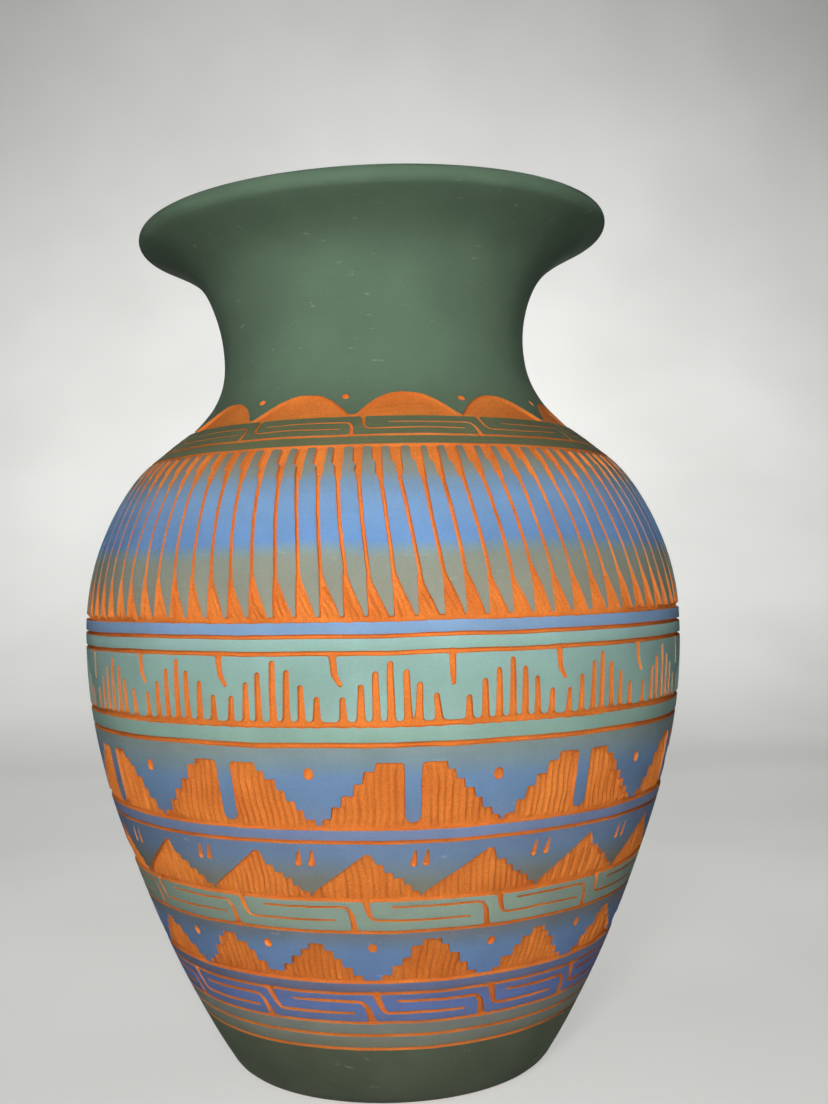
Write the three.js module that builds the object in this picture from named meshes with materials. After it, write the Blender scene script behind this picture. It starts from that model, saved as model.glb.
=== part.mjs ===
// A shouldered earthenware vase with a flared lip, painted in rings of matte colour.
// Each ring of paint is a film of its own: a line cut through to the clay parts it from the next.
// Millimetres, +Z up. The vase stands on z = 0 and is round about the Z axis.
import * as THREE from "three";

const WALL = 4.5; // clay, from the base to the lip
const COAT = 0.4; // one ring of paint
const GAP = 0.1; // between a ring of paint and the clay under it
const LIP_RADIUS = WALL / 2 + GAP + COAT; // the rounded edge of the painted lip

const BASE_RADIUS = 42; // the flat disc that the vase stands on
const HEEL_RADIUS = 8; // the rounded corner between the base and the wall, outside the paint
const HEEL_END = -36; // degrees, where the rounded corner runs into the wall
const PAINT_START = 0.8; // the paint stops this far above the base
const PAINT_END = 216; // height at which the paint stops inside the neck

// Radius and height of the painted wall, from the top of the heel to the underside of the lip.
const WALL_OUTLINE = [
  [55.3, 14.5],
  [65.4, 34.8],
  [75.2, 59.3],
  [83.3, 83.8],
  [88.2, 108.4],
  [89.2, 131],
  [87, 147],
  [81.6, 161.5],
  [74, 173.8],
  [65, 182],
  [56, 189.2],
  [50, 196.2],
  [46.5, 205],
  [46.1, 216],
  [48.4, 226.5],
  [52.6, 234.5],
  [59.6, 240],
  [69.6, 245.2],
];

const SIDES = 36; // flat faces in one turn
const MAX_TURN = THREE.MathUtils.degToRad(12); // between two neighbouring faces of the outline
const MAX_FACE = 17; // longest straight face of the outline
const FINE_STEPS = 600; // samples from which the outline's corners are picked
const LIP_STEPS = 6;
const HEEL_STEPS = 4;

const CLAY = { color: 0xc4692f, roughness: 0.95 };
const PAINT_ROUGHNESS = 0.88;

// The rings from the lip down. Below each ring a line is cut at the height cut, this wide.
const RINGS = [
  { name: "neck_coat", color: 0x4f6f57, cut: 187.1, width: 1.1 },
  { name: "collar_key_band", color: 0x566247, cut: 181, width: 1 },
  { name: "collar_stripe", color: 0x566247, cut: 178.1, width: 1 },
  { name: "feather_band", color: 0x7295cb, cut: 134, width: 1.4 },
  { name: "upper_blue_stripe", color: 0x6a86c4, cut: 129.9, width: 1.1 },
  { name: "upper_turquoise_stripe", color: 0x7fb3a3, cut: 125.8, width: 1.2 },
  { name: "rain_band", color: 0x7fb3a3, cut: 108.4, width: 1.4 },
  { name: "lower_turquoise_stripe", color: 0x7fb3a3, cut: 103.3, width: 1.4 },
  { name: "mesa_band", color: 0x6788b8, cut: 82.3, width: 1.4 },
  { name: "lower_blue_stripe", color: 0x6a82c0, cut: 78.6, width: 1.2 },
  { name: "mountain_band", color: 0x6486b4, cut: 63.1, width: 1.2 },
  { name: "turquoise_key_band", color: 0x7aa898, cut: 54.3, width: 1.1 },
  { name: "terrace_band", color: 0x5f80b2, cut: 40.1, width: 1.3 },
  { name: "violet_stripe", color: 0x6c74b4, cut: 36.7, width: 1.1 },
  { name: "violet_key_band", color: 0x6c74b4, cut: 27.7, width: 1.1 },
  { name: "upper_olive_stripe", color: 0x79806f, cut: 23.7, width: 1.2 },
  { name: "lower_olive_stripe", color: 0x79806f, cut: 19.4, width: 1.2 },
  { name: "foot_coat", color: 0x46543f },
];

const point = (radius, height) => new THREE.Vector2(radius, height);

// Points of an arc in the plane of the outline, angles in radians from the +radius direction.
function arc(centre, radius, from, to, steps) {
  return Array.from({ length: steps + 1 }, (_, i) => {
    const angle = from + ((to - from) * i) / steps;
    return point(Math.cos(angle), Math.sin(angle)).multiplyScalar(radius).add(centre);
  });
}

// The right-hand normal of the face from a to b, which points out of the vase.
const normal = (a, b) => point(b.y - a.y, a.x - b.x).normalize();

// The outline moved inwards by a distance, each face staying parallel to itself.
function inset(outline, distance) {
  return outline.map((p, i) => {
    const before = normal(outline[Math.max(i - 1, 0)], outline[Math.max(i, 1)]);
    const last = outline.length - 1;
    const after = normal(outline[Math.min(i, last - 1)], outline[Math.min(i + 1, last)]);
    const mitre = before.clone().add(after).normalize();
    return p.clone().addScaledVector(mitre, -distance / mitre.dot(after));
  });
}

// Drops the samples of a curve that its shape doesn't need.
function simplified(samples) {
  const kept = [samples[0]];
  let heading = normal(samples[0], samples[1]).angle();
  for (let i = 1; i < samples.length - 1; i++) {
    const next = normal(samples[i], samples[i + 1]).angle();
    const turn = Math.abs(Math.atan2(Math.sin(next - heading), Math.cos(next - heading)));
    if (turn < MAX_TURN && samples[i].distanceTo(kept.at(-1)) < MAX_FACE) continue;
    kept.push(samples[i]);
    heading = next;
  }
  return [...kept, samples.at(-1)];
}

// The point of an outline at a height.
function pointAt(outline, height) {
  const i = outline.findIndex((p) => p.y >= height);
  const below = outline[i - 1];
  return below.clone().lerp(outline[i], (height - below.y) / (outline[i].y - below.y));
}

// The stretch of an outline between two heights.
function between(outline, low, high) {
  const inner = outline.filter((p) => p.y > low && p.y < high);
  return [pointAt(outline, low), ...inner, pointAt(outline, high)];
}

// A closed solid of revolution about the Z axis.
function turned(name, profile, material) {
  const geometry = new THREE.LatheGeometry(profile, SIDES).rotateX(Math.PI / 2);
  const mesh = new THREE.Mesh(geometry, new THREE.MeshStandardMaterial(material));
  mesh.name = name;
  return mesh;
}

// The painted outside of the vase as one row of flat faces, from the base to the lip.
function outsideFace() {
  const heelCentre = point(BASE_RADIUS, HEEL_RADIUS - COAT - GAP);
  const heelEnd = THREE.MathUtils.degToRad(HEEL_END);
  const heel = arc(heelCentre, HEEL_RADIUS, -Math.PI / 2, heelEnd, HEEL_STEPS);
  const wall = new THREE.SplineCurve([heel.at(-1), ...WALL_OUTLINE.map(([r, z]) => point(r, z))]);
  return [...heel.slice(0, -1), ...simplified(wall.getSpacedPoints(FINE_STEPS))];
}

// The lip's rounded edge, at a depth under the painted face, from the outside to the inside.
function lipEdge(face, depth) {
  const end = face.at(-1);
  const out = normal(face.at(-2), end);
  const centre = end.clone().addScaledVector(out, -LIP_RADIUS);
  const start = out.angle();
  return arc(centre, LIP_RADIUS - depth, start, start + Math.PI, LIP_STEPS).slice(1, -1);
}

function clayVessel(face) {
  const outside = inset(face, COAT + GAP);
  const inside = inset(face, COAT + GAP + WALL).reverse();
  const lip = lipEdge(face, COAT + GAP);
  const floor = inside.at(-1).y;
  return turned(
    "clay_vessel",
    [point(0, 0), ...outside, ...lip, ...inside, point(0, floor)],
    CLAY,
  );
}

// A ring of paint that covers the outside only.
function ringCoat(ring, face, low, high) {
  const outside = between(face, low, high);
  const profile = [...outside, ...inset(outside, COAT).reverse(), outside[0]];
  return turned(ring.name, profile, { color: ring.color, roughness: PAINT_ROUGHNESS });
}

// The paint that covers the neck, goes over the lip and stops inside the neck.
function neckCoat(ring, face, low) {
  const top = face.at(-1).y;
  const outside = between(face, low, top);
  const inside = between(face, PAINT_END, top);
  const skin = (depth) => [
    ...inset(outside, depth),
    ...lipEdge(face, depth),
    ...inset(inside, 2 * LIP_RADIUS - depth).reverse(),
  ];
  const profile = [...skin(0), ...skin(COAT).reverse(), outside[0]];
  return turned(ring.name, profile, { color: ring.color, roughness: PAINT_ROUGHNESS });
}

const face = outsideFace();
const vase = new THREE.Group();
vase.add(clayVessel(face));

RINGS.forEach((ring, i) => {
  const above = RINGS[i - 1];
  const low = ring.cut === undefined ? PAINT_START : ring.cut + ring.width / 2;
  if (above) vase.add(ringCoat(ring, face, low, above.cut - above.width / 2));
  else vase.add(neckCoat(ring, face, low));
});

export default vase;
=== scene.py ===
import math

import bmesh
import bpy
import numpy as np
from mathutils import Matrix, Vector
from mathutils.geometry import delaunay_2d_cdt


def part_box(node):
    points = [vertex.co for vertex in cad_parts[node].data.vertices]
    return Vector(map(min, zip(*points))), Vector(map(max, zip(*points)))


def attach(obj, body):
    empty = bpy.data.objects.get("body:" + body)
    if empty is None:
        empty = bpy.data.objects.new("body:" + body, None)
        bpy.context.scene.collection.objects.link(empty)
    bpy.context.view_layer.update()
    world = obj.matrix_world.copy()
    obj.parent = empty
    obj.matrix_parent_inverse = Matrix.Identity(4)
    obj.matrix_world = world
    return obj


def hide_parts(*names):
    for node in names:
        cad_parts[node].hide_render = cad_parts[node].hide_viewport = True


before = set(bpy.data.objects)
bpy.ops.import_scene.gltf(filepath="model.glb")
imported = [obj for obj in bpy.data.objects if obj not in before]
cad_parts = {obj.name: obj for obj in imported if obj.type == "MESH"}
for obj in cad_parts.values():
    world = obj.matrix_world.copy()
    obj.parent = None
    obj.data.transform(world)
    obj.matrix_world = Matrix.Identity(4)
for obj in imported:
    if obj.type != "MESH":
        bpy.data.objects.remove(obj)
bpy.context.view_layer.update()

# An etched clay vase: a carved clay vessel and its rings of sprayed paint.
# Shapes are worked out in millimetres, and in degrees round the vase from its front (-Y), so
# that positive angles are to the right. Meshes are made in metres.
MM = 0.001

# ---------------- the painted face
BASE_RADIUS = 42
HEEL_RADIUS = 8  # the rounded corner between the base and the wall
HEEL_END = -36  # degrees, where that corner runs into the wall
STAND_OFF = 0.5  # depth of the bare base's clay under the painted face
LIP_RADIUS = 2.75  # the lip's rounded edge
PAINT_START = 0.8  # height of the paint's lower end
PAINT_END = 216  # height at which the paint stops inside the neck
CURVE_STEPS = 24  # in each arc, and in each piece of the wall's curve
# Radius and height of the painted wall, from the heel to the underside of the lip.
WALL_OUTLINE = np.array([
    [55.3, 14.5], [65.4, 34.8], [75.2, 59.3], [83.3, 83.8], [88.2, 108.4], [89.2, 131],
    [87, 147], [81.6, 161.5], [74, 173.8], [65, 182], [56, 189.2], [50, 196.2],
    [46.5, 205], [46.1, 216], [48.4, 226.5], [52.6, 234.5], [59.6, 240], [69.6, 245.2],
])

PAINT = 0.12  # thickness of the paint
CLAY_DEPTH = 0.15  # clay under the paint
CUT_DEPTH = 1.0  # floor of a cut
CUT_WALL = 0.22  # width of a cut's sloping side
GROOVE = 0.72  # height of the ridges between two strokes of the gouge

rng = np.random.default_rng(852)


def ease(t):
    """A smooth step from 0 to 1."""
    t = np.clip(t, 0, 1)
    return t * t * (3 - 2 * t)


def arc(centre, radius, start, end):
    angle = np.radians(np.linspace(start, end, CURVE_STEPS + 1))
    return centre + radius * np.stack([np.cos(angle), np.sin(angle)], axis=1)


def spline(points):
    """A uniform Catmull-Rom curve through the points."""
    ends = np.vstack([points[:1], points, points[-1:]])
    t = np.arange(CURVE_STEPS)[:, None] / CURVE_STEPS
    pieces = []
    for a, b, c, d in zip(ends, ends[1:], ends[2:], ends[3:]):
        u, v = (c - a) / 2, (d - b) / 2
        cubic, square = 2 * b - 2 * c + u + v, 3 * c - 3 * b - 2 * u - v
        pieces.append((cubic * t + square) * t * t + u * t + b)
    return np.vstack([*pieces, points[-1:]])


def travelled(points):
    """The distance along a path at each of its points."""
    return np.concatenate([[0], np.cumsum(np.hypot(*np.diff(points, axis=0).T))])


def steps_between(start, end, step):
    return np.linspace(start, end, max(int(round((end - start) / step)), 1) + 1)


def evenly(points, step):
    """The same path with its points a step apart."""
    at = travelled(points)
    wanted = steps_between(0, at[-1], step)
    return np.stack([np.interp(wanted, at, points[:, i]) for i in (0, 1)], axis=1)


def normals(points):
    """Right-hand normals of a path, which point out of the clay."""
    along = np.gradient(points, axis=0)
    along /= np.hypot(*along.T)[:, None]
    return np.stack([along[:, 1], -along[:, 0]], axis=1)


class Face:
    """The painted face as one path of radius and height: under the base, up the outside, over
    the lip, down the inside and over the floor. travel is the distance along it. chart is the
    height on a map of the wall that keeps angles, where the angle round the vase is the width."""

    STEP = 0.25
    FLAT_STEP = 2

    def __init__(self):
        heel = arc((BASE_RADIUS, HEEL_RADIUS - STAND_OFF), HEEL_RADIUS, -90, HEEL_END)
        wall = spline(np.vstack([heel[-1:], WALL_OUTLINE]))
        outside = evenly(np.vstack([heel[:-1], wall]), self.STEP)
        out = normals(outside)
        start = math.degrees(math.atan2(out[-1][1], out[-1][0]))
        lip = arc(outside[-1] - LIP_RADIUS * out[-1], LIP_RADIUS, start, start + 180)
        inside = (outside - 2 * LIP_RADIUS * out)[::-1]
        under = evenly(np.array([[0, outside[0][1]], outside[0]]), self.FLAT_STEP)
        floor = evenly(np.array([inside[-1], [0, inside[-1][1]]]), self.FLAT_STEP)
        parts = [under[:-1], outside, lip[1:-1], inside, floor[1:]]
        self.points = np.vstack(parts)
        self.normals = normals(self.points)
        self.travel = travelled(self.points)
        ends = np.cumsum([len(part) for part in parts])
        self.heel, self.lip, self.throat, self.floor = self.travel[ends[:4] - [0, 1, 0, 1]]
        self.outside = slice(ends[0], ends[1])
        self.inside = slice(ends[2], ends[3])
        radius = self.points[self.outside, 0]
        steps = np.diff(self.travel[self.outside]) / ((radius[1:] + radius[:-1]) / 2)
        self.chart = np.concatenate([[0], np.cumsum(steps)])

    def travel_at(self, height):
        return np.interp(height, self.points[self.outside, 1], self.travel[self.outside])

    def chart_at(self, height):
        return np.interp(height, self.points[self.outside, 1], self.chart)

    def chart_to_travel(self, chart):
        return np.interp(chart, self.chart, self.travel[self.outside])

    def chart_radius(self, chart):
        return np.interp(chart, self.chart, self.points[self.outside, 0])

    def inside_travel_at(self, height):
        heights, travel = self.points[self.inside, 1], self.travel[self.inside]
        return np.interp(height, heights[::-1], travel[::-1])

    def place(self, angle, travel, depth):
        """Positions in millimetres at angles in radians, at a depth under the painted face."""
        point = [np.interp(travel, self.travel, self.points[:, i]) for i in (0, 1)]
        normal = [np.interp(travel, self.travel, self.normals[:, i]) for i in (0, 1)]
        size = np.hypot(*normal)
        radius, height = (p - depth * n / size for p, n in zip(point, normal))
        radius = np.where((travel <= 0) | (travel >= self.travel[-1]), 0, radius)
        return thrown_off_centre(radius * np.sin(angle), -radius * np.cos(angle), height)


NECK_LEAN = 2.05  # how far the neck leans to the left at its middle
NECK_LOW, NECK_MIDDLE = 186, 226
LIP_RETURN = 0.95  # how much of that the lip takes back
LIP_TILT = 2.1 / 71  # slope of the lip, which is lower on its left
TILT_LOW = 215


def thrown_off_centre(x, y, z):
    """The hand-thrown neck leans a little to the left, and its lip tilts the same way."""
    lean = NECK_LEAN * ease((z - NECK_LOW) / (NECK_MIDDLE - NECK_LOW))
    lean = lean - LIP_RETURN * ease((z - NECK_MIDDLE) / 20)
    tilt = LIP_TILT * ease((z - TILT_LOW) / 30)
    return np.stack([x - lean, y, z + tilt * x], axis=1)


face = Face()

# ---------------- rings of paint
VESSEL = "clay_vessel"


def millimetres(node, end):
    """Height of a node's lower (0) or upper (1) end."""
    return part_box(node)[end].z / MM


coats = sorted((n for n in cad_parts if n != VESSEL), key=lambda n: -millimetres(n, 1))
# The bare lines between the rings, as (low, high).
lines = [(millimetres(low, 1), millimetres(high, 0)) for high, low in zip(coats, coats[1:])]


def band(node):
    """The heights of the middles of the cut lines under and over a ring of paint."""
    i = coats.index(node)
    return sum(lines[i]) / 2, sum(lines[i - 1]) / 2


# ---------------- the map of cuts
CARVED_LOW = 15.5  # the wall is cut between these two heights
CARVED_HIGH = 197
COLUMNS = 2400
CELL = 2 * math.pi / COLUMNS
FAR = 4.0  # the map's distance where no cut is near
HAND = 0.16  # how far the hand strays from the drawn line
RAGGED = 0.03  # roughness of a cut's edge
RIPPLE = 0.06  # how far the strokes' ends stray over the edge of a cleared area
BLEND = 0.7  # how wide the corner of paint between two cuts is rounded


def noise(shape, cell):
    """Smooth noise from -1 to 1 with features about cell steps wide, closed round the vase."""
    across, up = shape[1] // cell, shape[0] // cell + 3
    grid = rng.uniform(-1, 1, (up, across))
    x = np.arange(shape[1]) * across / shape[1]
    y = np.arange(shape[0]) / cell
    i, j = y.astype(int), x.astype(int)
    down, right = ease(y - i)[:, None], ease(x - j)
    rows = [grid[k][:, j] * (1 - right) + grid[k][:, (j + 1) % across] * right for k in (i, i + 1)]
    return rows[0] * (1 - down) + rows[1] * down


def to_segment(x, y, a, b):
    """Distance of each point to the segment from a to b, and how far along it that is."""
    dx, dy = b[0] - a[0], b[1] - a[1]
    along = np.clip(((x - a[0]) * dx + (y - a[1]) * dy) / (dx * dx + dy * dy), 0, 1)
    return np.hypot(x - a[0] - along * dx, y - a[1] - along * dy), along


class Cuts:
    """Signed distance in millimetres to the edge of the nearest cut, negative inside it, on the
    angle-keeping map. Points are given as (degrees round the vase, height in millimetres)."""

    MARGIN = 3.0

    def __init__(self):
        self.low = face.chart_at(CARVED_LOW)
        self.rows = int((face.chart_at(CARVED_HIGH) - self.low) / CELL) + 1
        self.high = self.low + (self.rows - 1) * CELL
        self.chart = self.low + CELL * np.arange(self.rows)
        self.radius = face.chart_radius(self.chart)
        shape = (self.rows, COLUMNS)
        self.distance = np.full(shape, FAR)
        self.gouge = np.full(shape, -1, np.int16)
        stray = HAND / self.radius[:, None]
        self.stray_x = stray * (noise(shape, 60) + 0.4 * noise(shape, 16))
        self.stray_y = stray * (noise(shape, 75) + 0.4 * noise(shape, 18))
        self.gouges = []

    def to_map(self, points):
        degrees, heights = np.array(points, float).T
        return np.stack([np.radians(degrees), face.chart_at(heights)], axis=1)

    def window(self, low, high):
        """The part of the map around a box: its index, positions with the hand's stray, radius."""
        i = np.clip((np.array([low[1], high[1]]) - self.low) / CELL, 0, self.rows - 1).astype(int)
        reach = self.MARGIN / self.radius[i].min()
        i = np.clip(i + [-int(reach / CELL), int(reach / CELL) + 2], 0, self.rows)
        j = np.array([low[0] - reach, high[0] + reach]) / CELL
        columns = np.arange(int(j[0]), min(int(j[1]) + 2, int(j[0]) + COLUMNS))
        rows = slice(*i)
        wrapped = (columns + COLUMNS // 2) % COLUMNS
        here = (rows, wrapped)
        x = columns * CELL + self.stray_x[here]
        y = self.chart[rows][:, None] + self.stray_y[here]
        return here, x, y, self.radius[rows][:, None]

    def join(self, here, distance, blend, gouge=-1):
        """Adds a cut. Where it meets another, blend rounds the corner of paint between them."""
        old = self.distance[here]
        overlap = np.clip(blend - np.abs(old - distance), 0, None) / blend
        self.distance[here] = np.minimum(old, distance) - overlap ** 2 * blend / 4
        if gouge >= 0:
            inside = distance < np.minimum(old, 0)
            self.gouge[here] = np.where(inside, gouge, self.gouge[here])

    def begin(self, points):
        path = self.to_map(points)
        here, x, y, radius = self.window(path.min(0), path.max(0))
        return path, here, x, y, radius, np.full(x.shape, FAR)

    def stroke(self, points, widths, blend=BLEND):
        """A line cut through the points, with its width at each of them."""
        path, here, x, y, radius, nearest = self.begin(points)
        for a, b, start, end in zip(path, path[1:], widths, widths[1:]):
            away, along = to_segment(x, y, a, b)
            nearest = np.minimum(nearest, away * radius - (start + (end - start) * along) / 2)
        self.join(here, nearest, blend)

    def patch(self, points, blend=BLEND, lean=None, pitch=1.35, groove=GROOVE):
        """A cleared area inside the outline. lean, in degrees from upright, is the direction of
        the gouge's strokes that cleared it, which lie pitch apart and leave ridges groove high."""
        path, here, x, y, radius, nearest = self.begin(points)
        inside = np.zeros(x.shape, bool)
        for a, b in zip(path, np.roll(path, -1, axis=0)):
            nearest = np.minimum(nearest, to_segment(x, y, a, b)[0])
            if a[1] != b[1]:
                spans = (a[1] > y) != (b[1] > y)
                inside ^= spans & (x < a[0] + (y - a[1]) / (b[1] - a[1]) * (b[0] - a[0]))
        distance = np.where(inside, -nearest, nearest) * radius
        gouge = -1
        if lean is not None:
            gouge = len(self.gouges)
            self.gouges.append(Gouge(path, lean, pitch, groove))
            u, _ = self.gouges[gouge].across(x, y)
            distance = distance + RIPPLE * np.cos(2 * np.pi * u / pitch)
        self.join(here, distance, blend, gouge)

    def dot(self, degrees, height, wide, tall):
        centre = self.to_map([(degrees, height)])[0]
        here, x, y, radius = self.window(centre, centre)
        out = np.hypot((x - centre[0]) * radius / wide * 2, (y - centre[1]) * radius / tall * 2)
        self.join(here, (out - 1) * min(wide, tall) / 2, 0.1)

    def line(self, low, high):
        """A line all the way round."""
        bottom, top = face.chart_at(low), face.chart_at(high)
        here, _, y, radius = self.window((-math.pi, bottom), (math.pi, top))
        away = np.abs(y - (bottom + top) / 2) - (top - bottom) / 2
        self.join(here, away * radius, BLEND)

    def finish(self):
        """Roughens the edges, and repeats the first column at the end, to close the map."""
        shape = self.distance.shape
        self.distance += RAGGED * (noise(shape, 7) + 0.6 * noise(shape, 3))
        self.closed = np.hstack([self.distance, self.distance[:, :1]])

    def sample(self, x, y):
        """The distance at points of the map."""
        i = np.clip((y - self.low) / CELL, 0, self.rows - 1.001)
        j = np.clip((x + math.pi) / CELL, 0, COLUMNS - 0.001)
        row, column = i.astype(int), j.astype(int)
        up, right = i - row, j - column
        near, far = self.closed[:, :-1], self.closed[:, 1:]
        bottom, top = (near[k, column] * (1 - right) + far[k, column] * right for k in (row, row + 1))
        return bottom * (1 - up) + top * up

    def gouge_at(self, x, y):
        """The number of the gouge that clears each point, or -1."""
        row = np.clip(np.rint((y - self.low) / CELL), 0, self.rows - 1).astype(int)
        return self.gouge[row, np.rint((x + math.pi) / CELL).astype(int) % COLUMNS]


class Gouge:
    """The parallel strokes that clear one area."""

    ROW = 1.6  # between two mesh points along a stroke

    def __init__(self, path, lean, pitch, groove):
        self.low, self.high = path.min(0), path.max(0)
        self.centre = (self.low + self.high) / 2
        self.radius = face.chart_radius(self.centre[1])
        self.pitch = pitch
        self.groove = groove
        lean = math.radians(lean)
        self.right = np.array([math.cos(lean), -math.sin(lean)])
        self.up = np.array([math.sin(lean), math.cos(lean)])
        self.phase = rng.uniform(0, 2 * np.pi, 4)

    def wander(self, v):
        return 0.3 * np.sin(v / 2.9 + self.phase[0]) + 0.1 * np.sin(v / 1.1 + self.phase[1])

    def across(self, x, y):
        """Millimetres across the strokes, and along them."""
        turn = (x - self.centre[0] + math.pi) % (2 * math.pi) - math.pi
        dx, dy = turn * self.radius, (y - self.centre[1]) * self.radius
        v = dx * self.up[0] + dy * self.up[1]
        return dx * self.right[0] + dy * self.right[1] + self.wander(v), v

    def relief(self, x, y):
        """How far the floor stands up between two strokes."""
        u, v = self.across(x, y)
        height = 0.75 + 0.25 * np.sin(u * 1.9 + v / 4 + self.phase[2])
        slow = 0.12 * np.sin(u * 0.7 + self.phase[3]) + 0.05 * np.sin(v * 1.3 + self.phase[2])
        return self.groove * height * (1 - np.abs(np.sin(np.pi * u / self.pitch))) + slow

    def points(self):
        """Map points along the ridges and hollows of the strokes."""
        reach = np.hypot(*(self.high - self.low)) * self.radius / 2 + 1
        count = round(reach / self.pitch * 4)
        across = np.arange(-count, count) * self.pitch / 4
        u, v = np.meshgrid(across, np.arange(-reach, reach, self.ROW))
        u = u - self.wander(v)
        x = self.centre[0] + (u * self.right[0] + v * self.up[0]) / self.radius
        y = self.centre[1] + (u * self.right[1] + v * self.up[1]) / self.radius
        return np.stack([x.ravel(), y.ravel()], axis=1)


# ---------------- the patterns
def around(front, pitch):
    """Angles all the way round: the given ones at the front, then roughly even ones."""
    rest = 360 - (front[-1] - front[0])
    count = round(rest / pitch)
    filled = front[-1] + rest / count * np.arange(1, count) + rng.normal(0, pitch * 0.03, count - 1)
    return [*front, *filled]


def with_next(angles):
    return zip(angles, [*angles[1:], angles[0] + 360])


def between(limits, share):
    low, high = limits
    return low + share * (high - low)


def stairs(start, end, top, bottom, count):
    """Points of a staircase cut by eye from the angle start at the top to end at the bottom."""
    shares = (np.arange(1, count + 1) - 0.25 + rng.normal(0, 0.1, count)) / count
    treads = (np.arange(1, count + 1) + rng.normal(0, 0.1, count)) / (count + 0.1)
    points = [(start, top)]
    angle = start
    for share, tread in zip(shares, treads):
        height = top + (bottom - top) * share
        points.append((angle + (end - start) * 0.03, height))
        angle = start + (end - start) * min(tread, 1)
        points.append((angle, height))
    return [*points, (end, bottom)]


def scallops(cuts):
    """Half-round humps on the line under the neck, with a dot over each place where two meet."""
    line = sum(lines[0]) / 2
    humps = around([-52.5, -22.5, 7.75, 37], 30)
    for centre in humps:
        wide, tall = 14.6 + rng.normal(0, 0.25), 6.8 + rng.normal(0, 0.2)
        spans = np.linspace(-1, 1, 17)
        cuts.patch([(centre + wide * x, line + tall * (1 - abs(x) ** 2.3)) for x in spans],
                   blend=0.2, lean=84, pitch=2.1, groove=0.16)
    for place in around([-38, -9.8, 25.1], 30):
        cuts.dot(place, line + 5.7 + rng.normal(0, 0.25), 2.3, 2.1)


def hooks(cuts, node, hangs, pitch, reach, heights, width, slant, upright):
    """Interlocking hooks: one hangs from the upper line and turns right, and one stands on the
    lower line and turns left above it."""
    limits = low, high = band(node)
    low_arm, high_arm = (between(limits, share) for share in heights)
    arm = [width, width, width, width * 0.8]
    bend = 0.9
    for hang in around(hangs, pitch):
        shift = rng.normal(0, 0.3)
        right = hang + reach + rng.normal(0, 0.8)
        cuts.stroke([
            (hang + shift - slant, high - 0.35),
            (hang + shift - slant * 0.2, low_arm + 0.28 * (high - low_arm)),
            (hang + shift + bend * 0.5, low_arm + 0.3),
            (hang + shift + bend + 0.6, low_arm),
            ((hang + right) / 2, low_arm + rng.normal(0, 0.1)),
            (right, low_arm + rng.normal(0, 0.1)),
        ], [upright * 1.25, upright, *arm])
        foot = hang - 3 + shift + rng.normal(0, 0.3)
        left = foot - reach + rng.normal(0, 0.8)
        cuts.stroke([
            (foot, low + 0.35),
            (foot - slant * 0.6, high_arm - 0.3 * (high_arm - low)),
            (foot - slant - bend * 0.5, high_arm - 0.25),
            (foot - slant - bend - 0.6, high_arm),
            ((foot + left) / 2, high_arm + rng.normal(0, 0.1)),
            (left, high_arm + rng.normal(0, 0.1)),
        ], [upright * 1.35, upright, *arm])


FEATHERS = 92


def feathers(cuts):
    """Slender feathers of paint, parted by cuts that widen to a block on top and a fan below."""
    limits = low, high = band("feather_band")
    for i in range(FEATHERS):
        at = 1.3 + 360 / FEATHERS * i + rng.normal(0, 0.16)
        left, right = at - 3.42 + rng.normal(0, 0.12), at - 1.02 + rng.normal(0, 0.08)
        step, tip = (between(limits, s + rng.normal(0, 0.012)) for s in (0.9, 0.815))
        block = [(left, high), (left + 0.1, step), (left + 0.8, step - 0.5), (at - 2.45, tip + 0.6),
                 (at - 2.0, tip), (at - 1.1, tip - 0.6), (right, step), (right, high)]
        cuts.patch(block, blend=0.15)
        curve = zip((-1.6, -0.65, 0.35, 0.75), rng.normal(0, 0.12, 4), (0.79, 0.55, 0.254, 0.0))
        shaft = [(at + offset + stray, between(limits, share)) for offset, stray, share in curve]
        cuts.stroke([(at - 1.75, tip + 1), *shaft], [1.5, 1.15, 1.0, 1.05, 1.2])
        start = between(limits, 0.25 + rng.normal(0, 0.015))
        fan = [(at + 0.05, start), (at + 0.2, low), (at + 3.5 + rng.normal(0, 0.12), low),
               (at + 3.2, between(limits, 0.04)), (at + 0.6, start)]
        cuts.patch(fan, blend=0.5, lean=-26, pitch=1.25)


def rain(cuts):
    """Groups of seven upright strokes, tallest in the middle, with one hanging between groups."""
    limits = low, high = band("rain_band")
    tips = [0.365, 0.54, 0.7, 0.86, 0.71, 0.55, 0.37]
    places = [-7.4, -4.7, -2.35, 0, 2.4, 4.8, 7.4]
    groups = around([-55.3, -36.5, -18.2, 0.6, 20.6, 38.9], 18.9)
    for group, after in with_next(groups):
        for place, tip in zip(places, tips):
            at = group + place + rng.normal(0, 0.14)
            top = between(limits, tip + rng.normal(0, 0.015))
            foot = at + rng.normal(0, 0.15)
            cuts.stroke([(foot, low + 0.5), (at, top)], [2.1, 1.5], blend=1.2)
        at = (group + after) / 2 + rng.normal(0, 0.3)
        bend = rng.choice([0.1, 1.1])
        hanging = [(at, high - 0.4), (at + 0.2 * bend, between(limits, 0.7)),
                   (at + bend, between(limits, 0.56))]
        cuts.stroke(hanging, [1.8, 1.6, 1.15], blend=0.6)


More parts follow.
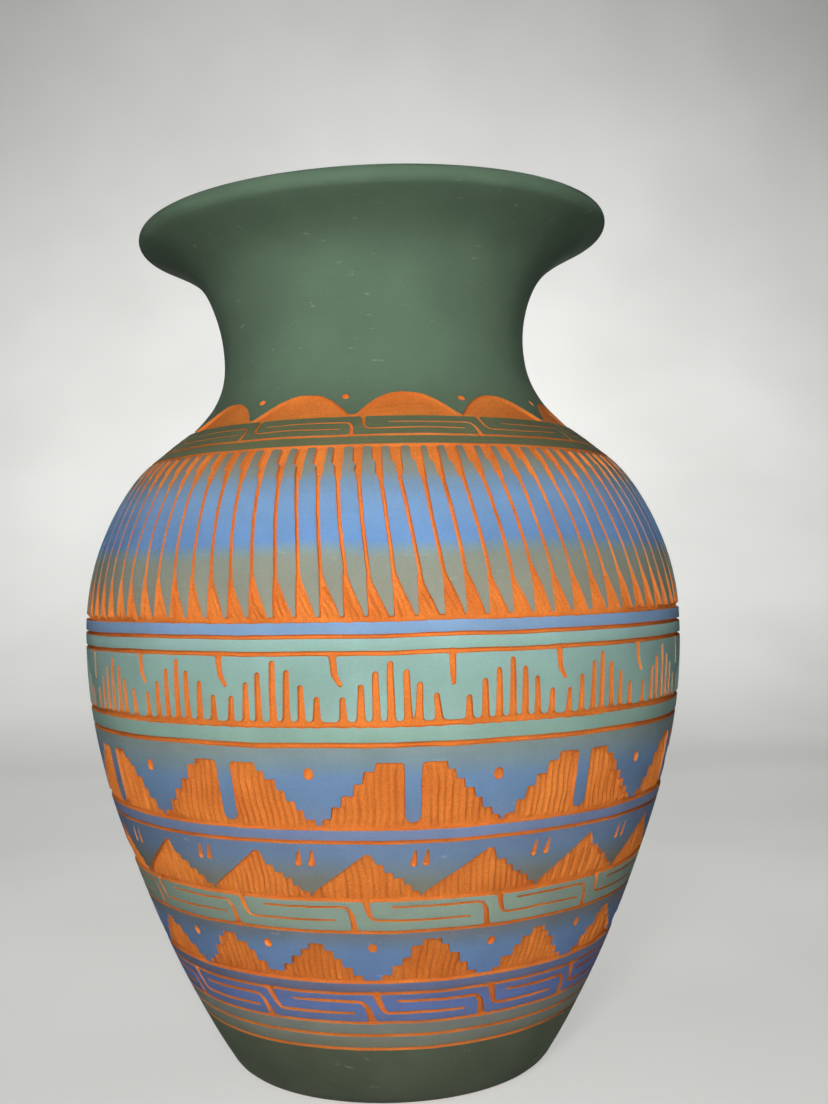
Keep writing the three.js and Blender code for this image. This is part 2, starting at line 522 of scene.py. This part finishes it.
def mesas(cuts):
    """Pairs of stepped halves back to back, with a dot between one pair and the next."""
    limits = low, _ = band("mesa_band")
    top = between(limits, 0.795)
    pairs = around([-60.4, -28.3, 4.2, 35.9], 32.7)
    for centre, after in with_next(pairs):
        for side, steps in ((-1, 5), (1, 6)):
            inner = centre + side * 1.35
            shoulder = centre + side * (5.9 + rng.normal(0, 0.25))
            foot = centre + side * (15.7 + rng.normal(0, 0.3))
            slope = stairs(shoulder, foot, top, low + 1.4, steps)
            slot = [(centre, low), (centre, low + 1.4), (centre + side * 0.8, low + 1.7),
                    (inner, low + 2.8), (inner, top - 1.0), (inner + side * 0.25, top - 0.3)]
            cuts.patch([*slot, (inner + side * 0.8, top), *slope, (foot, low)],
                       blend=0.4, lean=side * -3, pitch=1.8)
        height = between(limits, 0.62 + rng.normal(0, 0.03))
        cuts.dot((centre + after) / 2 - 1.5 + rng.normal(0, 0.5), height, 2.7, 3.2)


def mountains(cuts):
    """A row of peaks with a straight side and a stepped side, and two drops over each valley."""
    limits = low, _ = band("mountain_band")
    feet = around([-59, -36, -14.8, 6, 29, 51.5], 22.5)
    for foot, after in with_next(feet):
        peak = foot + (after - foot) * (0.53 + rng.normal(0, 0.02))
        top = between(limits, 0.83 + rng.normal(0, 0.02))
        slope = stairs(peak + 1.2, after - 0.3, between(limits, 0.68), between(limits, 0.11), 5)
        cuts.patch([(foot, low), (foot + 0.4, between(limits, 0.12)), (peak - 0.7, top - 0.3),
                    (peak - 0.1, top), (peak + 0.5, top - 0.3), *slope, (after, low)],
                   blend=0.4, lean=-2, pitch=1.65)
        for side in (-1.25, 1.25):
            at = foot - 0.3 + side + rng.normal(0, 0.15)
            drop = [(at + 0.35, between(limits, 0.84)), (at, between(limits, 0.63))]
            cuts.stroke(drop, [0.7, 1.8])


def terraces(cuts):
    """Low pyramids stepped on both sides, with a dot over each valley."""
    limits = low, _ = band("terrace_band")
    peaks = around([-58, -36, -15.5, 8.4, 32.7, 56], 22.5)
    for peak, after in with_next(peaks):
        top = between(limits, 0.8 + rng.normal(0, 0.03))
        flat = 1.6 + rng.normal(0, 0.2)
        left, right = (10.0 + rng.normal(0, 0.5) for _ in range(2))
        down = stairs(peak + flat, peak + right, top, low + 1.3, 4)
        up = stairs(peak - flat, peak - left, top, low + 1.3, 4)[::-1]
        cuts.patch([(peak - left, low), *up, *down, (peak + right, low)],
                   blend=0.4, lean=3, pitch=1.7)
        cuts.dot((peak + after) / 2 + rng.normal(0, 0.4), between(limits, 0.69), 2.4, 2.7)


def carve():
    """All the cuts, in a fixed order, so that the random numbers stay the same."""
    cuts = Cuts()
    for low, high in lines:
        cuts.line(low, high)
    scallops(cuts)
    hooks(cuts, "collar_key_band", [-61, -32, -3, 27], pitch=30, reach=23, heights=(0.33, 0.64),
          width=0.72, slant=0.4, upright=0.85)
    feathers(cuts)
    rain(cuts)
    mesas(cuts)
    mountains(cuts)
    hooks(cuts, "turquoise_key_band", [-54.5, -29, -3.5, 22.7], pitch=25.7, reach=19,
          heights=(0.37, 0.78), width=0.76, slant=0.8, upright=1.3)
    terraces(cuts)
    hooks(cuts, "violet_key_band", [-53.5, -28, -2, 24.5], pitch=25.7, reach=19.5,
          heights=(0.33, 0.72), width=1.1, slant=1.5, upright=1.5)
    cuts.finish()
    return cuts


# ---------------- outlines of the cuts
def contour(values, level):
    """Lines where a grid crosses a level, as lists of points in grid steps (row, column)."""
    rows, columns = values.shape
    inside = values < level
    across = inside[:, :-1] != inside[:, 1:]
    upward = inside[:-1] != inside[1:]
    sides = np.stack([across[:-1], upward[:, 1:], across[1:], upward[:, :-1]])
    i, j = np.nonzero(sides.any(axis=0))
    here = sides[:, i, j]
    names = np.stack([
        2 * (i * columns + j), 2 * (i * columns + j + 1) + 1,
        2 * ((i + 1) * columns + j), 2 * (i * columns + j) + 1,
    ])
    plain = here.sum(axis=0) == 2
    order = np.argsort(~here[:, plain], axis=0, kind="stable")[:2]
    pairs = [np.take_along_axis(names[:, plain], order, axis=0).T]
    i, j, crossed = i[~plain], j[~plain], names[:, ~plain]
    middle = (values[i, j] + values[i, j + 1] + values[i + 1, j] + values[i + 1, j + 1]) / 4
    turn = (middle < level) == inside[i, j]
    pairs.append(np.where(turn[:, None], crossed[[0, 1]].T, crossed[[0, 3]].T))
    pairs.append(np.where(turn[:, None], crossed[[2, 3]].T, crossed[[1, 2]].T))
    links = {}
    for a, b in np.vstack(pairs).tolist():
        links.setdefault(a, []).append(b)
        links.setdefault(b, []).append(a)
    chains = []
    loose = [name for name, ends in links.items() if len(ends) == 1]
    for first in [*loose, *list(links)]:
        if not links.get(first):
            continue
        chain = [first]
        while links[chain[-1]]:
            step = links[chain[-1]].pop()
            links[step].remove(chain[-1])
            chain.append(step)
        chains.append(crossings(np.array(chain), values, level))
    return chains


def crossings(names, values, level):
    """Where the named grid edges cross the level."""
    corner, upright = names // 2, names % 2
    i, j = corner // values.shape[1], corner % values.shape[1]
    a, b = values[i, j], values[i + upright, j + 1 - upright]
    share = (level - a) / (b - a)
    return np.stack([i + share * upright, j + share * (1 - upright)], axis=1)


def simplified(points, tolerance, longest):
    """The points of a line that its shape needs."""
    last = len(points) - 1
    ends = [0, last // 2, last] if np.allclose(points[0], points[-1]) else [0, last]
    stack, kept = list(zip(ends, ends[1:])), set(ends)
    while stack:
        a, b = stack.pop()
        if b - a < 2:
            continue
        chord = points[b] - points[a]
        length = math.hypot(*chord)
        offset = points[a + 1:b] - points[a]
        away = np.abs(offset[:, 0] * chord[1] - offset[:, 1] * chord[0]) / length
        k = int(np.argmax(away))
        bent = away[k] > tolerance
        middle = a + 1 + k if bent else (a + b) // 2
        if bent or length > longest:
            kept.add(middle)
            stack += [(a, middle), (middle, b)]
    return points[sorted(kept)]


# ---------------- the skin of the vase
AROUND = 192  # columns of the plain parts
BARE = -1  # in place of a ring's number, where there is no paint
EDGE, FLOOR_EDGE, PAINTED, CARVED = range(4)  # kinds of points on the carved wall
TOLERANCE = 0.055  # how far the mesh's outline of a cut may stray from the map's
LONGEST = 3.2  # edge of such an outline
SEAM_STEP = 0.03  # radians between points on the seam at the back
SPREAD = 2 * math.pi / 150  # between the loose points on the painted parts
CLEAR = 0.75  # from a cut to the nearest loose point
TINY = 1e-6


class Skin:
    """The whole face of the vase as flat lists: angle, travel and clay depth of each point, and
    for each triangle or quad its corners and the ring of paint on it."""

    def __init__(self):
        self.parts, self.faces, self.coat, self.count = [], [], [], 0

    def add(self, angle, travel, depth, faces, coat):
        self.faces += (np.asarray(faces) + self.count).tolist()
        self.coat += list(coat)
        self.parts.append((angle, travel, depth))
        self.count += len(angle)

    def rows(self, travels, depth, coat):
        """A plain stretch: one row of points at each travel, with depth for all or for each."""
        angle = np.linspace(-math.pi, math.pi, AROUND + 1)
        wide, tall = len(angle), len(travels)
        corner = (np.arange(tall - 1)[:, None] * wide + np.arange(wide - 1)).ravel()
        faces = np.stack([corner, corner + 1, corner + wide + 1, corner + wide], axis=1)
        depths = np.repeat(np.broadcast_to(depth, tall), wide)
        self.add(np.tile(angle, tall), np.repeat(travels, wide), depths, faces, [coat] * len(faces))

    def done(self):
        self.angle, self.travel, self.depth = map(np.concatenate, zip(*self.parts))
        self.coat = np.array(self.coat)


def carved_points(cuts):
    """Points and fixed edges for the triangles of the carved wall, and each point's kind."""
    points, kinds, edges = [], [], []

    def add(new, kind, joined=False):
        start = sum(map(len, points))
        points.append(new)
        kinds.append(np.broadcast_to(kind, len(new)))
        if joined:
            edges.extend((k, k + 1) for k in range(start, start + len(new) - 1))

    seam = {0.0, cuts.rows - 1.0}
    for level, kind in ((0.0, EDGE), (-CUT_WALL, FLOOR_EDGE)):
        for chain in contour(cuts.closed, level):
            step = CELL * cuts.radius[int(chain[:, 0].mean())]
            line = simplified(chain, TOLERANCE / step, LONGEST / step)
            if len(line) < 4 and np.allclose(line[0], line[-1]):
                continue
            for row, column in (line[0], line[-1]):
                if column == 0:
                    seam.add(row)
            add(line * CELL, kind, joined=True)

    seam = np.array(sorted(seam)) * CELL
    filled = [np.linspace(a, b, max(int((b - a) / SEAM_STEP), 1) + 1)[:-1]
              for a, b in zip(seam, seam[1:])]
    rows = np.concatenate([*filled, seam[-1:]])
    depth = -cuts.sample(np.full(len(rows), -math.pi), rows + cuts.low)
    kind = np.where(depth > CUT_WALL + TINY, CARVED, np.where(depth > TINY, EDGE, PAINTED))
    for column in (0.0, COLUMNS * CELL):
        add(np.stack([rows, np.full(len(rows), column)], axis=1), kind, joined=True)
    columns = np.linspace(0, COLUMNS * CELL, AROUND + 1)
    for row in (seam[0], seam[-1]):
        add(np.stack([np.full(len(columns), row), columns], axis=1), PAINTED, joined=True)

    end = 2 * math.pi - SPREAD / 2
    y, x = np.mgrid[SPREAD:seam[-1] - SPREAD / 2:SPREAD * 0.87, SPREAD:end:SPREAD]
    x = x + SPREAD / 2 * (np.arange(len(x)) % 2)[:, None] + rng.normal(0, SPREAD * 0.08, x.shape)
    y = y + rng.normal(0, SPREAD * 0.08, y.shape)
    inner = (x > SPREAD / 2) & (x < end)
    x, y = x[inner], y[inner]
    clear = cuts.sample(x - math.pi, y + cuts.low) > CLEAR
    add(np.stack([y[clear], x[clear]], axis=1), PAINTED)

    for number, gouge in enumerate(cuts.gouges):
        found = gouge.points()
        found[:, 0] = (found[:, 0] + math.pi) % (2 * math.pi) - math.pi
        floor = (cuts.gouge_at(*found.T) == number) & (cuts.sample(*found.T) < -CUT_WALL - 0.14)
        floor &= np.abs(found[:, 0]) < math.pi - 0.002
        found = found[floor]
        add(np.stack([found[:, 1] - cuts.low, found[:, 0] + math.pi], axis=1), CARVED)
    return np.vstack(points), np.concatenate(kinds), edges


def clay_depths(cuts, x, y, kinds):
    """How deep the clay lies under the painted face at points of the carved wall."""
    x = np.where(x > math.pi - TINY, -math.pi, x)  # one depth on both sides of the seam
    inside = -cuts.sample(x, y)
    depth = np.where(kinds >= FLOOR_EDGE, CUT_DEPTH, CLAY_DEPTH)
    depth = np.where(kinds == FLOOR_EDGE, depth - 0.05, depth)
    gouge = cuts.gouge_at(x, y)
    for number in np.unique(gouge[(gouge >= 0) & (kinds >= FLOOR_EDGE)]):
        here = (gouge == number) & (kinds >= FLOOR_EDGE)
        fade = ease((inside[here] - CUT_WALL + 0.15) / 0.6)
        depth[here] -= cuts.gouges[number].relief(x[here], y[here]) * fade
    return depth


def carved_wall(skin, cuts):
    """Adds the stretch of the wall that holds all the cuts."""
    points, kinds, edges = carved_points(cuts)
    flat = [Vector((x, y)) for y, x in points.tolist()]
    out, _, faces, origins, _, _ = delaunay_2d_cdt(flat, edges, [], 0, 1e-7, True)
    origin = np.array([ids[0] if ids else -1 for ids in origins])
    place = np.array([tuple(p) for p in out])
    place = np.where(origin[:, None] >= 0, points[origin][:, ::-1], place)
    x, y = place[:, 0] - math.pi, place[:, 1] + cuts.low
    kind = np.where(origin >= 0, kinds[origin], EDGE)
    faces = np.array(faces)
    corners = kind[faces]
    middle = cuts.sample(x[faces].mean(1), y[faces].mean(1))
    cut = (corners == FLOOR_EDGE).any(1) | (corners == CARVED).any(1)
    cut |= (corners == EDGE).all(1) & (middle < 0)
    heights = face.chart_at([sum(line) / 2 for line in lines])
    coat = (y[faces].mean(1)[:, None] < heights).sum(1)
    travel = face.chart_to_travel(y)
    for end in (cuts.low, cuts.high):
        travel = np.where(np.abs(y - end) < TINY, face.chart_to_travel(end), travel)
    depth = clay_depths(cuts, x, y, np.where(kind == PAINTED, EDGE, kind))
    skin.add(x, travel, depth, faces, np.where(cut, BARE, coat))


def plain_parts(skin, cuts):
    """Adds everything below, above and inside the carved wall."""
    low, high = face.chart_to_travel(cuts.low), face.chart_to_travel(cuts.high)
    paint_start, paint_end = face.travel_at(PAINT_START), face.inside_travel_at(PAINT_END)

    skin.rows(steps_between(0, face.heel, 6), STAND_OFF, BARE)
    heel = steps_between(face.heel, paint_start, 0.9)
    rising = STAND_OFF + (CLAY_DEPTH - STAND_OFF) * np.linspace(0, 1, len(heel))
    skin.rows(heel, rising, BARE)
    skin.rows(steps_between(paint_start, low, 1.6), CLAY_DEPTH, len(coats) - 1)
    neck = steps_between(high, face.lip, 1.8)
    lip = steps_between(face.lip, face.throat, 0.62)
    throat = steps_between(face.throat, paint_end, 2.2)
    skin.rows(np.concatenate([neck[:-1], lip[:-1], throat]), CLAY_DEPTH, 0)
    inside = steps_between(paint_end, face.floor, 5)
    turned = CLAY_DEPTH + 0.1 * np.sin(inside / 1.7) * ease((inside - paint_end) / 8)
    skin.rows(inside, turned * ease((face.floor - inside) / 5 + 0.6), BARE)
    skin.rows(steps_between(face.floor, face.travel[-1], 6), turned[-1] * ease(0.6), BARE)


# ---------------- meshes
BAKED_MAP = "OFBake"
MAP_MARGIN = 0.02
WELD = 2e-7  # metres between points that are one


def unroll(mesh, faces, angle, travel, backs=(0, 0)):
    """Unrolls the faces onto a flat map for baked colours: a strip as long as the vase is round,
    cut into rows that stack up to a square. The backs of a shell, faces backs[0] to backs[1],
    have rows of their own in the map's upper half."""
    sizes = np.array([len(f) for f in faces])
    corners = np.concatenate([np.array(f) for f in faces])
    owner = np.repeat(np.arange(len(faces)), sizes)
    turn = (angle + math.pi) / (2 * math.pi)
    middle = np.bincount(owner, turn[corners]) / sizes
    halves = 2 if backs[1] else 1
    low, high = travel.min(), travel.max()
    around_it = 2 * math.pi * BASE_RADIUS * 2
    rows = max(round(math.sqrt(around_it / (high - low) / halves)), 1)
    row = np.minimum((middle * rows).astype(int), rows - 1)[owner]
    inner = 1 - 2 * MAP_MARGIN
    u = (turn[corners] * rows - row) * inner + MAP_MARGIN
    v = (row + (travel[corners] - low) / (high - low) * inner + MAP_MARGIN) / rows
    behind = (owner >= backs[0]) & (owner < backs[1])
    layer = mesh.uv_layers.new(name=BAKED_MAP)
    layer.data.foreach_set("uv", np.stack([u, (v + behind) / halves], axis=1).ravel())


def placed(name, data):
    """A new object in the scene."""
    made = bpy.data.objects.new(name, data)
    bpy.context.scene.collection.objects.link(made)
    return made


def make_object(name, points, faces, sharp, mapped):
    """One mesh object. mapped is the angle and travel of each point, and the backs if any."""
    mesh = bpy.data.meshes.new(name)
    mesh.from_pydata((points * MM).tolist(), [], faces)
    unroll(mesh, faces, *mapped)
    body = bmesh.new()
    body.from_mesh(mesh)
    bmesh.ops.remove_doubles(body, verts=body.verts, dist=WELD)
    body.to_mesh(mesh)
    body.free()
    mesh.shade_smooth()
    mesh.set_sharp_from_angle(angle=math.radians(sharp))
    return placed(name, mesh)


def make_coat(skin, number):
    """A thin closed shell of paint where the skin carries this ring."""
    chosen = [skin.faces[i] for i in np.flatnonzero(skin.coat == number)]
    used = np.unique(np.concatenate([np.array(f) for f in chosen]))
    fresh = np.full(skin.count, -1)
    fresh[used] = np.arange(len(used))
    angle, travel = skin.angle[used], skin.travel[used]
    points = np.vstack([face.place(angle, travel, depth) for depth in (0.0, PAINT)])
    chosen = [[int(fresh[v]) for v in f] for f in chosen]
    keys = np.round(points[:len(used)], 4)
    _, same = np.unique(keys, axis=0, return_inverse=True)
    same = same.ravel()
    sides = {}
    for f in chosen:
        for a, b in zip(f, [*f[1:], f[0]]):
            sides[(same[a], same[b])] = (a, b)
    n = len(used)
    rims = [[b, a, a + n, b + n] for (p, q), (a, b) in sides.items() if (q, p) not in sides]
    backs = [[v + n for v in reversed(f)] for f in chosen]
    mapped = (np.tile(angle, 2), np.tile(travel, 2), (len(chosen), len(chosen + backs)))
    return make_object(coats[number], points, chosen + backs + rims, 40, mapped)


# ---------------- materials
def linear(red, green, blue):
    """A colour given as sRGB bytes, as the shaders' linear numbers."""
    values = [c / 255 for c in (red, green, blue)]
    return (*(v / 12.92 if v <= 0.04045 else ((v + 0.055) / 1.055) ** 2.4 for v in values), 1)


class Tree:
    """A material's nodes. Inputs are given by the sockets' names, or by number where names repeat."""

    def __init__(self, name):
        self.material = bpy.data.materials.new(name)
        self.material.use_nodes = True
        self.nodes = self.material.node_tree.nodes
        self.links = self.material.node_tree.links
        self.nodes.clear()
        self.where = self.node("TexCoord").outputs["Object"]

    def node(self, kind, inputs=None, **settings):
        made = self.nodes.new("ShaderNode" + kind)
        for name, value in settings.items():
            setattr(made, name, value)
        for key, value in (inputs or {}).items():
            if isinstance(value, bpy.types.NodeSocket):
                self.links.new(value, made.inputs[key])
            else:
                made.inputs[key].default_value = value
        return made

    def math(self, operation, a, b):
        return self.node("Math", {0: a, 1: b}, operation=operation).outputs[0]

    def mix(self, factor, a, b, blend="MIX"):
        inputs = {0: factor, 6: a, 7: b}
        return self.node("Mix", inputs, data_type="RGBA", blend_type=blend).outputs[2]

    def noise(self, size, detail, stretch=(1, 1, 1)):
        """Noise from 0 to 1 with features about size millimetres across."""
        scaled = self.node("Mapping", {"Vector": self.where, "Scale": stretch}).outputs[0]
        inputs = {"Vector": scaled, "Scale": 1 / (size * MM), "Detail": detail}
        return self.node("TexNoise", inputs).outputs["Fac"]

    def vary(self, size, detail, span, to=(0, 1), stretch=(1, 1, 1)):
        return self.remap(self.noise(size, detail, stretch), span, to)

    def ramp(self, factor, stops):
        made = self.node("ValToRGB", {"Fac": factor})
        elements = made.color_ramp.elements
        while len(elements) < len(stops):
            elements.new(0.5)
        for element, (place, colour) in zip(elements, stops):
            element.position = place
            element.color = linear(*colour)
        return made.outputs["Color"]

    def tinted(self, colour, shade):
        """The colour times the grey shade."""
        grey = self.node("CombineColor", {0: shade, 1: shade, 2: shade}).outputs[0]
        return self.mix(1.0, colour, grey, "MULTIPLY")

    def remap(self, value, span, to=(0, 1)):
        """The value, with its span from low to high turned into the range to."""
        inputs = {0: value, 1: span[0], 2: span[1], 3: to[0], 4: to[1]}
        return self.node("MapRange", inputs).outputs["Result"]

    def finish(self, colour, roughness, heights):
        """heights are (socket from 0 to 1, relief in millimetres)."""
        bump = None
        for socket, relief in heights:
            inputs = {"Height": socket, "Distance": relief * MM}
            if bump:
                inputs["Normal"] = bump
            bump = self.node("Bump", inputs).outputs["Normal"]
        inputs = {"Base Color": colour, "Roughness": roughness, "Normal": bump,
                  "Specular IOR Level": 0.25}
        shader = self.node("BsdfPrincipled", inputs)
        output = self.node("OutputMaterial")
        self.links.new(shader.outputs[0], output.inputs["Surface"])
        return self.material


DRIFT = 1.2 * MM  # how far a change of colour drifts up and down round the vase


def sprayed(name, stops):
    """Matte sprayed paint. stops are (height in millimetres, colour), from the bottom up."""
    tree = Tree(name)
    height = tree.node("SeparateXYZ", {"Vector": tree.where}).outputs["Z"]
    drift = tree.vary(45, 1.0, (0.25, 0.75), (-DRIFT, DRIFT), (1, 1, 0.4))
    grainy = tree.vary(0.55, 1.0, (0.2, 0.8), (-0.5 * DRIFT, 0.5 * DRIFT))
    height = tree.math("ADD", tree.math("ADD", height, drift), grainy)
    low, high = stops[0][0], stops[-1][0]
    share = tree.remap(height, (low * MM, high * MM))
    colour = tree.ramp(share, [((z - low) / (high - low), c) for z, c in stops])
    cloud = tree.vary(16, 3.0, (0.25, 0.75), (0.9, 1.1))
    speck = tree.vary(0.45, 2.0, (0.2, 0.8), (0.93, 1.07))
    colour = tree.tinted(colour, tree.math("MULTIPLY", cloud, speck))
    dust = tree.vary(5, 5.0, (0.67, 0.8), (0.0, 0.35), (1, 1, 2.6))
    colour = tree.mix(dust, colour, linear(186, 188, 180))
    roughness = tree.vary(9, 3.0, (0.3, 0.7), (0.78, 0.92))
    turning = tree.noise(60, 3.0, (1, 1, 38))
    return tree.finish(colour, roughness, [
        (turning, 0.12), (tree.noise(0.5, 3.0), 0.035), (tree.noise(3.5, 2.0), 0.06)])


def terracotta():
    """Bare low-fired clay: warm orange with fine grains and grit, and a finely bumpy surface."""
    tree = Tree("terracotta")
    patches = tree.vary(12, 3.0, (0.3, 0.7))
    colour = tree.ramp(patches, [(0, (214, 117, 44)), (1, (234, 138, 58))])
    grain = tree.vary(0.5, 4.0, (0.25, 0.75), (0.84, 1.12))
    colour = tree.tinted(colour, grain)
    grit = tree.vary(0.35, 1.0, (0.7, 0.78), (0.0, 0.5))
    colour = tree.mix(grit, colour, linear(240, 190, 140))
    roughness = tree.vary(2, 3.0, (0.3, 0.7), (0.88, 0.98))
    return tree.finish(colour, roughness, [
        (tree.noise(0.45, 4.0), 0.09), (tree.noise(2.2, 3.0), 0.1)])


def plain_floor():
    tree = Tree("plain_floor")
    cloud = tree.vary(220, 2.0, (0.3, 0.7))
    colour = tree.ramp(cloud, [(0, (206, 206, 203)), (1, (216, 216, 213))])
    return tree.finish(colour, 0.9, [(tree.noise(1.5, 2.0), 0.02)])


GREEN = (96, 119, 97)
OLIVE_GREEN = (104, 112, 80)
OLIVE_GREY = (138, 144, 131)

# Colours of the rings from bottom to top: by height for the two end rings, and for the others
# by the share of the ring's height.
BY_HEIGHT = {
    "neck_coat": [(188, (92, 113, 91)), (200, GREEN), (226, GREEN), (250, (93, 117, 95))],
    "foot_coat": [(0, (83, 91, 75)), (8, (87, 97, 77)), (18, (94, 103, 83))],
}
BY_SHARE = {
    "collar_key_band": [(0, OLIVE_GREEN), (1, (98, 110, 80))],
    "collar_stripe": [(0, OLIVE_GREEN), (1, OLIVE_GREEN)],
    "feather_band": [
        (0, (148, 150, 136)), (0.2, (144, 147, 132)), (0.34, (140, 148, 134)), (0.38, (130, 152, 158)),
        (0.44, (108, 149, 199)), (0.7, (123, 160, 200)), (0.8, (124, 152, 178)), (0.86, (134, 142, 136)),
        (1, (128, 126, 108))],
    "upper_blue_stripe": [(0, (128, 160, 192)), (1, (132, 165, 200))],
    "upper_turquoise_stripe": [(0, (144, 180, 166)), (1, (154, 190, 182))],
    "rain_band": [(0, (148, 180, 170)), (0.6, (142, 177, 166)), (1, (146, 181, 172))],
    "lower_turquoise_stripe": [(0, (143, 176, 160)), (1, (146, 180, 166))],
    "mesa_band": [
        (0, (118, 136, 166)), (0.3, (107, 137, 172)), (0.6, (114, 146, 182)), (0.76, (126, 150, 162)),
        (1, (136, 152, 148))],
    "lower_blue_stripe": [(0, (125, 143, 178)), (1, (125, 143, 178))],
    "mountain_band": [
        (0, (128, 128, 116)), (0.3, (126, 130, 122)), (0.55, (120, 138, 154)),
        (0.75, (114, 140, 172)), (1, (116, 138, 170))],
    "turquoise_key_band": [(0, (145, 166, 150)), (1, (149, 170, 153))],
    "terrace_band": [
        (0, (112, 142, 188)), (0.6, (112, 144, 185)), (0.84, (114, 132, 150)), (1, (124, 126, 130))],
    "violet_stripe": [(0, (116, 117, 138)), (1, (114, 127, 162))],
    "violet_key_band": [(0, (112, 127, 168)), (0.5, (109, 132, 190)), (1, (110, 126, 172))],
    "upper_olive_stripe": [(0, OLIVE_GREY), (1, (140, 144, 137))],
    "lower_olive_stripe": [(0, (131, 134, 114)), (1, OLIVE_GREY)],
}


def coat_colours(node):
    """(height, colour) stops from the bottom of a ring of paint to its top."""
    if node in BY_HEIGHT:
        return BY_HEIGHT[node]
    limits = millimetres(node, 0), millimetres(node, 1)
    return [(between(limits, share), colour) for share, colour in BY_SHARE[node]]


# ---------------- the model
def build():
    cuts = carve()
    skin = Skin()
    carved_wall(skin, cuts)
    plain_parts(skin, cuts)
    skin.done()
    points = face.place(skin.angle, skin.travel, skin.depth)
    vessel = make_object("carved_vessel", points, skin.faces, 50, (skin.angle, skin.travel))
    vessel.data.materials.append(terracotta())
    pieces = [(vessel, VESSEL)]
    for number, node in enumerate(coats):
        coat = make_coat(skin, number)
        coat.name = node + "_paint"
        coat.data.materials.append(sprayed(node + "_paint", coat_colours(node)))
        pieces.append((coat, node))
    for piece, node in pieces:
        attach(piece, "root")
        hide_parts(node)
    return [piece for piece, _ in pieces]


# ---------------- the studio
def make_floor():
    """A pale floor that curves up into a backdrop behind the vase."""
    front, depth, height, bend, width = -2.4, 1.5, 2.6, 0.9, 3.0
    sunk = 0.0002  # under the vase's base
    profile = [(front, 0.0), (depth - bend, 0.0)]
    profile += [(depth - bend + bend * math.sin(a), bend - bend * math.cos(a))
                for a in np.radians(np.arange(7.5, 90, 7.5))]
    profile += [(depth, bend), (depth, height)]
    points = [(x, y, z - sunk) for y, z in profile for x in (-width, width)]
    faces = [(2 * i, 2 * i + 1, 2 * i + 3, 2 * i + 2) for i in range(len(profile) - 1)]
    mesh = bpy.data.meshes.new("sweep")
    mesh.from_pydata(points, [], faces)
    mesh.shade_smooth()
    mesh.materials.append(plain_floor())
    sweep = placed("sweep", mesh)
    sweep.visible_diffuse = False
    return sweep


def make_light(name, place, size, power, target=(0, 0, 0.13)):
    light = bpy.data.lights.new(name, "AREA")
    light.shape = "DISK"
    light.size = size
    light.energy = power
    lamp = placed(name, light)
    lamp.location = place
    lamp.rotation_euler = (Vector(target) - Vector(place)).to_track_quat("-Z", "Y").to_euler()
    lamp.visible_camera = False
    return lamp


def collected(name, members):
    """A collection that stays outside the scene, for linking lights."""
    collection = bpy.data.collections.new(name)
    for member in members:
        collection.objects.link(member)
    return collection


def make_studio(pieces):
    """Soft light from beside the camera. The back light and the backdrop's light leave the
    other's surfaces alone."""
    swept = collected("swept", [make_floor()])
    make_light("key", (-0.05, -0.54, 0.29), size=0.1, power=1.04)
    make_light("fill", (0.05, -0.58, 0.05), size=0.14, power=0.66)
    back = make_light("back", (0.0, 0.85, 0.4), size=0.5, power=4.0)
    back.light_linking.receiver_collection = collected("vase", pieces)
    backdrop = make_light("backdrop", (0, -2.0, 1.2), size=0.8, power=11.0, target=(0, 1.5, 0.11))
    backdrop.data.spread = math.radians(45)
    backdrop.light_linking.receiver_collection = swept
    backdrop.light_linking.blocker_collection = swept
    world = bpy.data.worlds.new("studio")
    world.use_nodes = True
    background = world.node_tree.nodes["Background"]
    background.inputs["Color"].default_value = (0.95, 0.97, 1, 1)
    background.inputs["Strength"].default_value = 0.075
    bpy.context.scene.world = world
    bpy.context.scene.view_settings.view_transform = "Standard"


CAMERA_PLACE = (0.0, -0.409, 0.1452)
CAMERA_LENS = 43.21  # millimetres, with a sensor 36 mm wide
CAMERA_PITCH = 0.83902  # degrees up
CAMERA_ROLL = -1.18228  # degrees
CAMERA_YAW = 1.34528  # degrees to the right


def make_camera():
    pitch, roll, yaw = map(math.radians, (CAMERA_PITCH, CAMERA_ROLL, CAMERA_YAW))
    aim = Matrix.Rotation(-yaw, 4, "Z") @ Matrix.Rotation(math.pi / 2 + pitch, 4, "X")
    turn = aim @ Matrix.Rotation(roll, 4, "Z")
    lens = bpy.data.cameras.new("camera")
    lens.lens = CAMERA_LENS
    lens.sensor_width = 36
    lens.clip_start = 0.01
    camera = placed("camera", lens)
    camera.matrix_world = Matrix.Translation(CAMERA_PLACE) @ turn
    bpy.context.scene.camera = camera


make_camera()
make_studio(build())


def plain(box):
    return [[float(v) for v in corner] for corner in box]
